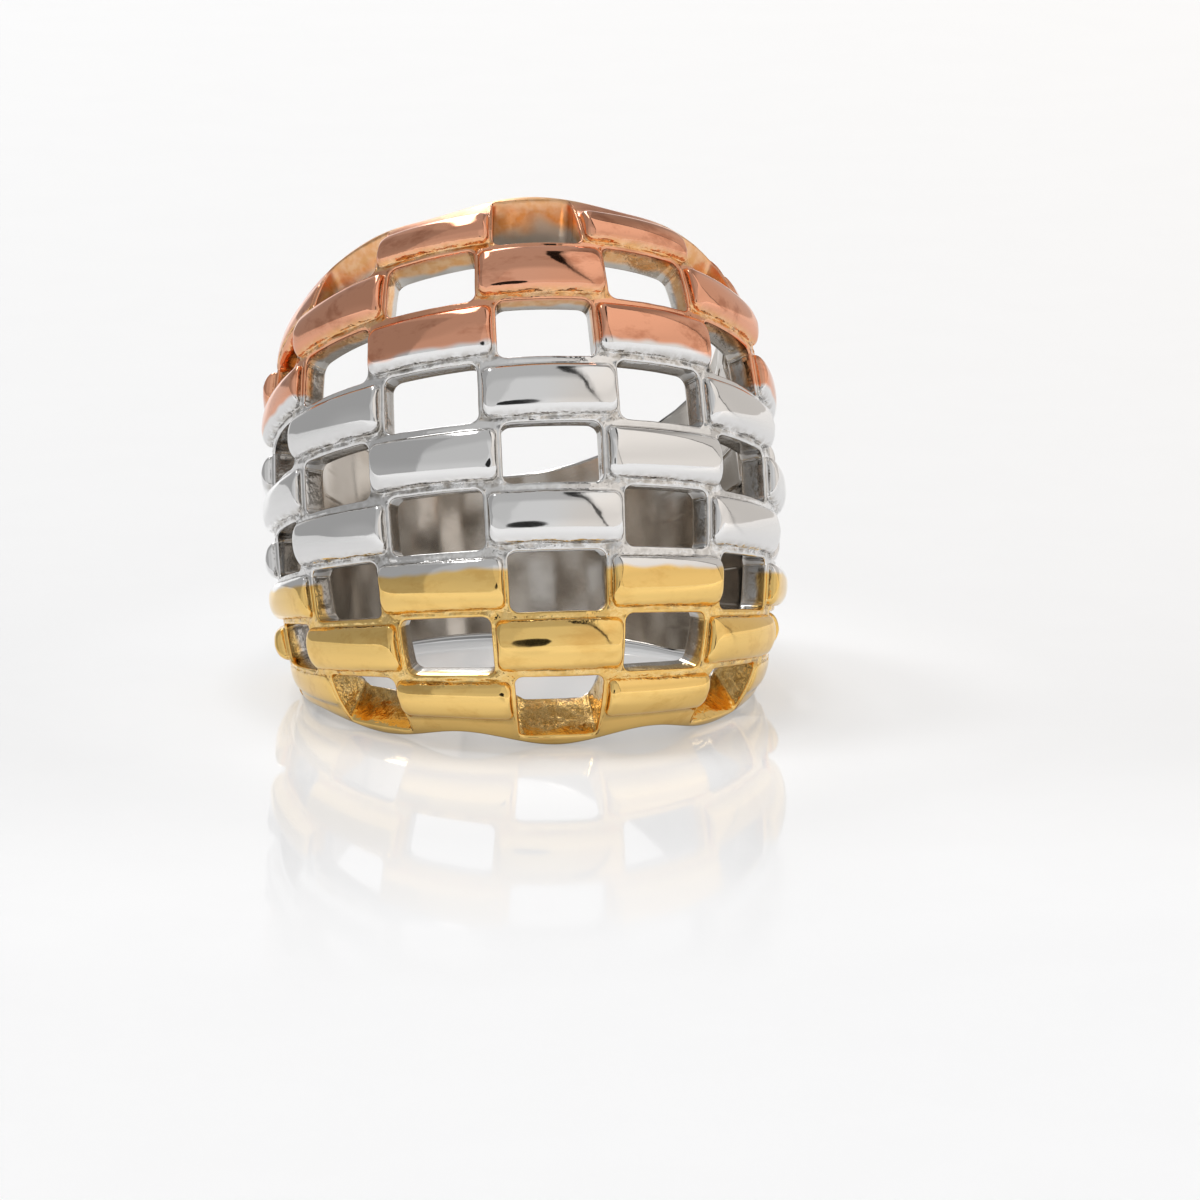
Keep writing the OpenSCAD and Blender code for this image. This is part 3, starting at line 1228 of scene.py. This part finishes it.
    def shade(self, spot: Spot) -> Socket:
        """Painted shade: how far a spot is darkened towards black, on the middle gaps' walls, with oxide
        there, and low down where it faces the floor.

        Args:
            spot: The spot.

        Returns:
            0 for the plain colour and 1 for black.
        """
        graph = spot.graph
        # Painted shade on the middle gaps' walls, and oxide in these hollows: darkest in the middle rows.
        wall = graph.ramp(spot.depth, *self.wall_foot)
        wall = graph.math("MULTIPLY", graph.ramp(spot.depth, *self.hidden_depths), wall)
        middle = graph.ramp(graph.math("ABSOLUTE", spot.row), *self.wall_rows, 0.0, self.wall_shade)
        # Painted shade near the floor: down-facing metal within foot_mm of it darkens, standing in for the
        # contact shadow it reflects.
        height = graph.node("ShaderNodeSeparateXYZ", {"Vector": spot.where}).outputs[2]
        facing = graph.node("ShaderNodeNewGeometry").outputs["Normal"]
        down = graph.node("ShaderNodeSeparateXYZ", {"Vector": facing}).outputs[2]
        foot = graph.ramp(height, self.foot_mm * MM, 0.0, 0.0, self.foot_shade)
        foot = graph.math("MULTIPLY", foot, graph.ramp(down, *self.foot_facing))
        return graph.math("MAXIMUM", graph.math("MULTIPLY", wall, middle), foot)

    def roughness(self, spot: Spot) -> Socket:
        """How rough a spot is: polished bars, duller lining, satin upper lip and cast recesses.

        Args:
            spot: The spot.

        Returns:
            The roughness.
        """
        graph = spot.graph
        smudge = graph.noise(spot.where, self.smudge_mm)
        polish = graph.ramp(smudge, *self.smudge_range, self.polish, self.polish + self.smudge_polish)
        inside = graph.ramp(spot.depth, *self.inside_depths, 0.0, self.inside_polish)
        lip = graph.ramp(spot.row, *self.lip_polish_rows, 0.0, self.lip_polish)
        polish = graph.math("ADD", graph.math("ADD", polish, inside), lip)
        return graph.number(spot.recess, polish, graph.ramp(spot.grit, *self.grain_range, *self.grain_polish))

    def relief(self, spot: Spot) -> Socket:
        """The hand-polished ripples of the bars and the cast lumps of the recesses.

        Args:
            spot: The spot.

        Returns:
            The bent normal.
        """
        graph, recess = spot.graph, spot.recess
        bumps = [(graph.noise(spot.where, size, 1.0), height, share) for size, height, share in self.ripples]
        facets = graph.noise(spot.where, self.facet_size_mm, 0.0)
        bumps.append((facets, self.facet_mm, graph.math("POWER", recess, 2.0)))
        strength = graph.math("MULTIPLY_ADD", recess, self.grit_gain, self.grit_least)
        bumps.append((spot.grit, self.grit_height_mm, strength))
        normal = {}
        for relief, height, strength in bumps:
            inputs = {"Height": relief, "Distance": height * MM, "Strength": strength}
            normal = {"Normal": graph.node("ShaderNodeBump", inputs | normal).outputs[0]}
        return normal["Normal"]


@dataclass(frozen=True)
class FloorFinish:
    """Pale board that glows as if lit from below, with a painted pool of light round the ring's foot, and
    whose gloss dies away towards the front.

    A pair says where a change starts and where it ends.
    """

    name: str = "pale_board"
    grey: float = 0.52
    grey_spread: float = 0.004
    tint: Triple = (1.0, 1.01, 1.03)
    grain_mm: float = 6.0
    grain_range: Pair = (0.3, 0.7)
    glow: float = 0.458
    glossy_glow: float = 0.305
    roughness: float = 0.04
    specular: float = 0.2
    gloss_mm: Pair = (-55.0, -8.0)
    # painted light: the pool of glow round the ring's foot that lifts its shadow on the floor
    pool: float = 0.055
    pool_front: float = 0.065
    pool_stretch: Triple = (1.15, 1.0, 1.0)
    pool_start_mm: Pair = (12.5, 15.5)
    pool_end_mm: Pair = (27.0, 15.5)
    pool_front_mm: Pair = (-7.0, -12.0)
    pool_side_mm: Pair = (15.0, 8.0)

    def material(self) -> bpy.types.Material:
        """Makes the material.

        Returns:
            The material.
        """
        made = bpy.data.materials.new(self.name)
        made.use_nodes = True
        graph = Graph(made.node_tree)
        inputs = made.node_tree.nodes["Principled BSDF"].inputs
        where = graph.node("ShaderNodeTexCoord").outputs["Object"]
        grain = graph.ramp(graph.noise(where, self.grain_mm), *self.grain_range)
        greys = self.grey - self.grey_spread, self.grey + self.grey_spread
        low, high = ((*(grey * share for share in self.tint), 1.0) for grey in greys)
        graph.feed(inputs["Base Color"], graph.mix(grain, low, high))
        inputs["Roughness"].default_value = self.roughness
        inputs["Emission Color"].default_value = WHITE
        across, forward, _ = graph.node("ShaderNodeSeparateXYZ", {"Vector": where}).outputs
        gloss = graph.math("POWER", graph.span(forward, self.gloss_mm), 2.0)
        graph.feed(inputs["Specular IOR Level"], graph.math("MULTIPLY", gloss, self.specular))
        light = graph.number(gloss, self.glow, self.glossy_glow)
        # Painted light: a pool of glow added round the ring's foot.
        pool = self.painted_pool_light(graph, where, across, forward)
        graph.feed(inputs["Emission Strength"], graph.math("ADD", light, pool))
        return made

    def painted_pool_light(self, graph: Graph, where: Socket, across: Socket, forward: Socket) -> Socket:
        """A painted pool of light on the floor round the ring's foot, brighter in front of it: glow that
        lifts the ring's own shadow there.

        Args:
            graph: The shader's nodes.
            where: The point on the floor.
            across: How far to the right it lies.
            forward: How far away it lies.

        Returns:
            The light added there.
        """
        drawn = graph.node("ShaderNodeMapping", {"Vector": where, "Scale": self.pool_stretch}).outputs[0]
        off = graph.node("ShaderNodeVectorMath", {0: drawn}, operation="LENGTH").outputs["Value"]
        pool = graph.math("MULTIPLY", graph.span(off, self.pool_start_mm), graph.span(off, self.pool_end_mm))
        front = graph.span(forward, self.pool_front_mm, self.pool_front)
        side = graph.span(graph.math("ABSOLUTE", across), self.pool_side_mm)
        return graph.math("MULTIPLY", pool, graph.math("ADD", graph.math("MULTIPLY", front, side), self.pool))


def placed(name: str, data: bpy.types.ID) -> bpy.types.Object:
    """Puts data into the scene.

    Args:
        name: The new object's name.
        data: Its mesh, light or camera.

    Returns:
        The object.
    """
    made = bpy.data.objects.new(name, data)
    bpy.context.scene.collection.objects.link(made)
    return made


# The ring


@dataclass
class Ring:
    """The whole casting: its sub-assemblies, its place in the frame and its finish."""

    form: Form = field(default_factory=Form)
    finish: PlatedFinish = field(default_factory=PlatedFinish)
    dent_mm: float = 0.009
    dent_size_mm: float = 3.0
    lump_mm: float = 0.028
    lump_size_mm: float = 0.75
    lump_depth: float = 0.3
    wave_count: int = 12
    wave_sum: float = 4.0
    seed: int = 5

    def casting(self) -> Casting:
        """Builds every sub-assembly about the finger's axis.

        Returns:
            The casting, not yet welded.
        """
        gaps = Gaps(self.form)
        rims = Rims(self.form, gaps)
        bars = Bars(self.form, gaps, rims)
        shank = Shank(self.form, gaps, rims)
        casting = Casting()
        log.info("bars: %d", bars.build(casting))
        log.info("gaps: %d open", gaps.build(casting))
        shank_columns = shank.build(casting)
        for side in Side:
            for column in range(-self.form.columns, self.form.columns + 1, 2):
                rims.lobe(casting, column, side.value)
            mesh = [rims.columns(c)[:-1] for c in range(-self.form.columns, self.form.columns + 1)]
            rims.lip(casting, np.concatenate(mesh + [np.array(shank_columns[:-1])]), side.value)
        return casting

    def waves(self, points: np.ndarray, size_mm: float) -> np.ndarray:
        """A smooth uneven field of crossed waves.

        Args:
            points: Where it is wanted.
            size_mm: The waves' length.

        Returns:
            One number a point, mostly between -1 and 1.
        """
        chance = np.random.default_rng(self.seed)
        ways = chance.normal(size=(self.wave_count, 3))
        ways /= np.linalg.norm(ways, axis=1, keepdims=True)
        starts = chance.uniform(0, 2 * np.pi, self.wave_count)
        return np.cos(points @ ways.T * 2 * np.pi / size_mm + starts).sum(1) / self.wave_sum

    def wear(self, points: np.ndarray, grain: np.ndarray, depth: np.ndarray) -> np.ndarray:
        """How far each point lies off the plain form.

        Args:
            points: The points.
            grain: How rough the casting was left there.
            depth: How far through the wall they lie.

        Returns:
            Heights in millimetres: dents of hand polishing everywhere, and cast lumps on the rough ledges.
        """
        dents = -self.dent_mm * (1 + self.waves(points, self.dent_size_mm))
        ledge = grain * np.clip(1 - depth / self.lump_depth, 0, 1)
        return dents + ledge * self.lump_mm * self.waves(points, self.lump_size_mm)

    def seated(self, points: np.ndarray) -> np.ndarray:
        """Sets points in the frame, leaning as the record's finger hole says, inside the CAD's box.

        Args:
            points: Points about the finger's axis, in millimetres.

        Returns:
            The points in the frame, in metres.
        """
        mount = frame["record"]["mounts"][0]
        _, ay, az = mount["axis"]
        lean = math.atan2(ay, az)
        y = points[:, 1] * math.cos(lean) + points[:, 2] * math.sin(lean)
        z = points[:, 2] * math.cos(lean) - points[:, 1] * math.sin(lean)
        placed = np.stack([points[:, 0], y, z], 1) * MM + np.array(mount["pos_m"])
        low, high = (np.array(corner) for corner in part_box(NODE))
        own_low, own_high = placed.min(0), placed.max(0)
        return low + (placed - own_low) * (high - low) / (own_high - own_low)

    def build(self) -> bpy.types.Object:
        """Makes the ring's object, dressed and riding on its body.

        Returns:
            The object.
        """
        points, marks, faces = self.casting().welded()
        mesh = bpy.data.meshes.new(NODE)
        mesh.from_pydata(points.tolist(), [], faces)
        mesh.validate()
        self.face_outwards(mesh)
        normals = np.empty(len(mesh.vertices) * 3, np.float32)
        mesh.vertex_normals.foreach_get("vector", normals)
        worn = points + normals.reshape(-1, 3) * self.wear(points, marks[:, 1], marks[:, 2])[:, None]
        mesh.vertices.foreach_set("co", self.seated(worn).astype(np.float32).ravel())
        for name, values in zip(MARKS, marks.T):
            mesh.attributes.new(name, "FLOAT", "POINT").data.foreach_set("value", values.astype(np.float32))
        mesh.shade_smooth()
        mesh.update()
        ring = placed("ring_casting", mesh)
        mesh.materials.append(self.finish.material())
        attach(ring, "root")
        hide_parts(NODE)
        triangles = sum(len(p.vertices) - 2 for p in mesh.polygons)
        log.info("%s: %d points, %d triangles", ring.name, len(mesh.vertices), triangles)
        return ring

    @staticmethod
    def face_outwards(mesh: bpy.types.Mesh) -> None:
        """Turns every face outwards and reports edges that don't have two faces.

        Args:
            mesh: The mesh.
        """
        work = bmesh.new()
        work.from_mesh(mesh)
        bmesh.ops.recalc_face_normals(work, faces=work.faces)
        open_edges = sum(1 for e in work.edges if len(e.link_faces) != 2)
        log.info("edges without two faces: %d", open_edges)
        work.to_mesh(mesh)
        work.free()


# The studio


@dataclass(frozen=True)
class Sky:
    """A direction looked in, each value an output of one shader's nodes.

    The flat sky is a plot of directions: 0 overhead, 1 at the horizon, across to the right and along away.
    """

    graph: Graph
    way: Socket
    height: Socket
    across: Socket
    along: Socket
    front: Socket


@dataclass(frozen=True)
class Tent:
    """The light tent round the ring, seen in its bars: first its lights, then where they lie on the flat sky.

    A pair says where a change starts and where it ends. For left_line, strip_middle and strip_half_w it is a
    line's slope and start, and seam_line has a bend before them.
    """

    left: float = 0.37
    ceiling: float = 0.49
    front_left: float = 0.57
    front: float = 0.69
    right_low: float = 0.74
    right_high: float = 0.95
    right_behind: float = 0.62
    corner: float = 0.33
    backdrop: float = 0.95
    strip: float = 5.0
    opening: float = 0.03
    low_gain: float = 0.15
    warm: tuple[float, ...] = (1.0, 0.945, 0.89, 1.0)

    low_height: Pair = (0.4, 0.1)
    low_along: Pair = (0.3, 0.0)
    warm_across: Pair = (0.0, 0.3)
    fold_slope: float = 0.268
    fold_edge: Pair = (-0.01, 0.01)
    ceiling_edge: Pair = (0.22, 0.34)
    left_line: Pair = (-0.9, -0.22)
    left_edge: Pair = (0.0, 0.03)
    right_height: Pair = (0.1, 0.85)
    corner_across: Pair = (0.28, 0.45)
    behind_along: Pair = (0.13, 0.16)
    backdrop_along: Pair = (0.7, 0.8)
    backdrop_across: Pair = (0.35, 0.25)
    seam_line: Triple = (0.253, 0.177, 0.135)
    seam_edge: Pair = (0.0, 0.02)
    seam_front: Pair = (0.13, 0.22)
    seam_half_w: Pair = (0.023, 0.007)
    seam_off: float = 0.004
    seam_fade: Pair = (0.005, -0.003)
    seam_along: Pair = (0.16, 0.1)
    crease_along: float = 0.145
    crease_fade: Pair = (0.014, 0.005)
    crease_across: Pair = (0.12, 0.16)
    crease_dark: float = 0.85
    strip_middle: Pair = (0.25, -0.175)
    strip_half_w: Pair = (0.09, 0.011)
    strip_start: Pair = (0.06, 0.12)
    strip_end: Pair = (0.75, 0.6)
    strip_fade: Pair = (0.015, -0.01)
    opening_left: float = math.radians(7.5)
    opening_up: float = math.radians(8)
    opening_r: Pair = (math.radians(9.2), math.radians(7.4))

    def world(self) -> bpy.types.World:
        """Makes the surroundings.

        Returns:
            The world.
        """
        world = bpy.data.worlds.new("light_tent")
        world.use_nodes = True
        graph = Graph(world.node_tree)
        way = graph.node("ShaderNodeTexCoord").outputs["Generated"]
        x, y, z = graph.node("ShaderNodeSeparateXYZ", {"Vector": way}).outputs
        rise = graph.math("ADD", graph.math("MAXIMUM", z, 0.0), 1.0)
        across, along = graph.math("DIVIDE", x, rise), graph.math("DIVIDE", y, rise)
        front = graph.math("MAXIMUM", graph.math("MULTIPLY", along, -1.0), 0.0)
        sky = Sky(graph, way, z, across, along, front)
        gain = graph.ramp(z, *self.low_height, 0.0, self.low_gain)
        gain = graph.math("MULTIPLY", gain, graph.ramp(along, *self.low_along))
        light = graph.math("MULTIPLY", self.walls(sky), graph.math("ADD", gain, 1.0))
        light = graph.math("MULTIPLY", light, self.dark_parts(sky))
        light = graph.math("MULTIPLY_ADD", self.strip_share(sky), self.strip, light)
        shade = world.node_tree.nodes["Background"]
        graph.feed(shade.inputs["Strength"], light)
        tint = graph.mix(graph.ramp(across, *self.warm_across), WHITE, self.warm)
        graph.feed(shade.inputs["Color"], tint)
        return world

    def seam(self, sky: Sky) -> Socket:
        """How far a direction lies to the right of the seam between the tent's ceiling and its right wall.

        Args:
            sky: The direction looked in.

        Returns:
            The distance on the flat sky.
        """
        bend, slope, start = self.seam_line
        line = sky.graph.math("MULTIPLY_ADD", sky.front, bend, slope)
        return sky.graph.math("SUBTRACT", sky.across, sky.graph.math("MULTIPLY_ADD", sky.front, line, start))

    def walls(self, sky: Sky) -> Socket:
        """The light of the tent's ceiling, walls and backdrop.

        Args:
            sky: The direction looked in.

        Returns:
            The light.
        """
        graph = sky.graph
        fold = graph.ramp(graph.math("MULTIPLY_ADD", sky.front, self.fold_slope, sky.across), *self.fold_edge)
        wall = graph.number(fold, self.front_left, self.front)
        middle = graph.number(graph.ramp(sky.front, *self.ceiling_edge), self.ceiling, wall)
        slope, start = self.left_line
        left = graph.math("MULTIPLY_ADD", sky.across, -1.0, start)
        left = graph.math("MULTIPLY_ADD", sky.front, slope, left)
        light = graph.number(graph.ramp(left, *self.left_edge), middle, self.left)
        right = graph.ramp(sky.height, *self.right_height, self.right_low, self.right_high)
        behind = graph.ramp(sky.across, *self.corner_across, self.corner, self.right_behind)
        right = graph.number(graph.ramp(sky.along, *self.behind_along), right, behind)
        light = graph.number(graph.ramp(self.seam(sky), *self.seam_edge), light, right)
        near = graph.ramp(graph.math("ABSOLUTE", sky.across), *self.backdrop_across)
        share = graph.math("MULTIPLY", graph.ramp(sky.along, *self.backdrop_along), near)
        return graph.number(share, light, self.backdrop)

    def dark_parts(self, sky: Sky) -> Socket:
        """What is left of the light at the tent's dark seam and crease and at the opening for the camera.

        Args:
            sky: The direction looked in.

        Returns:
            A share from nearly 0 to 1.
        """
        graph = sky.graph
        width = graph.ramp(sky.front, *self.seam_front, *self.seam_half_w)
        off = graph.math("ADD", self.seam(sky), graph.math("ADD", width, self.seam_off))
        seam = graph.ramp(graph.math("SUBTRACT", graph.math("ABSOLUTE", off), width), *self.seam_fade)
        seam = graph.math("MULTIPLY", seam, graph.ramp(sky.along, *self.seam_along))
        off = graph.math("ABSOLUTE", graph.math("SUBTRACT", sky.along, self.crease_along))
        crease = graph.ramp(sky.across, *self.crease_across, 0.0, self.crease_dark)
        crease = graph.math("MULTIPLY", graph.ramp(off, *self.crease_fade), crease)
        dark = graph.math("MAXIMUM", seam, crease)
        dark = graph.math("MAXIMUM", dark, self.opening_share(sky))
        return graph.ramp(dark, 1.0, 0.0, self.opening, 1.0)

    def opening_share(self, sky: Sky) -> Socket:
        """Where the opening for the camera is, a disc low in front.

        Args:
            sky: The direction looked in.

        Returns:
            1 in the opening and 0 outside.
        """
        left, up = self.opening_left, self.opening_up
        middle = (-math.sin(left) * math.cos(up), -math.cos(left) * math.cos(up), math.sin(up))
        inputs = {0: sky.way, 1: middle}
        near = sky.graph.node("ShaderNodeVectorMath", inputs, operation="DOT_PRODUCT").outputs["Value"]
        return sky.graph.ramp(near, *(math.cos(radius) for radius in self.opening_r))

    def strip_share(self, sky: Sky) -> Socket:
        """Where the strip light runs up behind the ring and over it.

        Args:
            sky: The direction looked in.

        Returns:
            1 in the strip light and 0 outside.
        """
        graph = sky.graph
        middle = graph.math("MULTIPLY_ADD", sky.along, *self.strip_middle)
        half = graph.math("MULTIPLY_ADD", sky.along, *self.strip_half_w)
        off = graph.math("ABSOLUTE", graph.math("SUBTRACT", sky.across, middle))
        near, far = graph.ramp(sky.along, *self.strip_start), graph.ramp(sky.along, *self.strip_end)
        length = graph.math("MULTIPLY", near, far)
        return graph.math("MULTIPLY", graph.ramp(graph.math("SUBTRACT", off, half), *self.strip_fade), length)


@dataclass(frozen=True)
class Studio:
    """Floor, lamp and camera."""

    floor_r: float = 3.0
    floor_sides: int = 96
    lamp_from: Triple = (-0.485, 0.255, 0.836)
    lamp_strength: float = 0.8
    lamp_spread: float = math.radians(14)
    camera_mm: Triple = (-42.9, -351.7, 80.3)
    camera_look: Triple = (0.1269, 0.9692, -0.2113)
    camera_sensor: float = 36.0
    camera_lens: float = 260.8
    camera_clip: Pair = (0.01, 20.0)

    def floor(self) -> bpy.types.Object:
        """Makes the wide round board that the ring stands on.

        Returns:
            The floor.
        """
        turns = [2 * math.pi * k / self.floor_sides for k in range(self.floor_sides)]
        ring = [(self.floor_r * math.cos(t), self.floor_r * math.sin(t), 0.0) for t in turns]
        mesh = bpy.data.meshes.new("floor")
        mesh.from_pydata(ring, [], [list(range(self.floor_sides))])
        mesh.materials.append(FloorFinish().material())
        floor = placed("floor", mesh)
        log.info("%s: %d sides", floor.name, self.floor_sides)
        return floor

    def lamp(self) -> bpy.types.Object:
        """Makes a far lamp up to the left that throws the ring's soft shadow to the right.

        Returns:
            The lamp.
        """
        data = bpy.data.lights.new("far_lamp", "SUN")
        data.energy, data.angle = self.lamp_strength, self.lamp_spread
        lamp = placed("far_lamp", data)
        lamp.rotation_euler = Vector(self.lamp_from).to_track_quat("Z", "Y").to_euler()
        lamp.visible_glossy = False
        log.info("%s: strength %.1f", lamp.name, data.energy)
        return lamp

    def camera(self) -> bpy.types.Object:
        """Makes the camera at the photograph's angle: a long lens a little above the floor.

        Returns:
            The camera.
        """
        data = bpy.data.cameras.new("camera")
        data.sensor_width, data.lens = self.camera_sensor, self.camera_lens
        data.clip_start, data.clip_end = self.camera_clip
        camera = placed("camera", data)
        camera.location = [mm * MM for mm in self.camera_mm]
        camera.rotation_euler = Vector(self.camera_look).to_track_quat("-Z", "Y").to_euler()
        bpy.context.scene.camera = camera
        log.info("%s: lens %.1f mm", camera.name, data.lens)
        return camera


def main() -> None:
    """Builds the ring and its studio."""
    logging.basicConfig(level=logging.INFO, format="%(name)s: %(message)s")
    view = bpy.context.scene.view_settings
    view.view_transform = "Standard"
    Ring().build()
    studio = Studio()
    bpy.context.scene.world = Tent().world()
    studio.floor()
    studio.lamp()
    studio.camera()


if __name__ == "__main__":
    main()
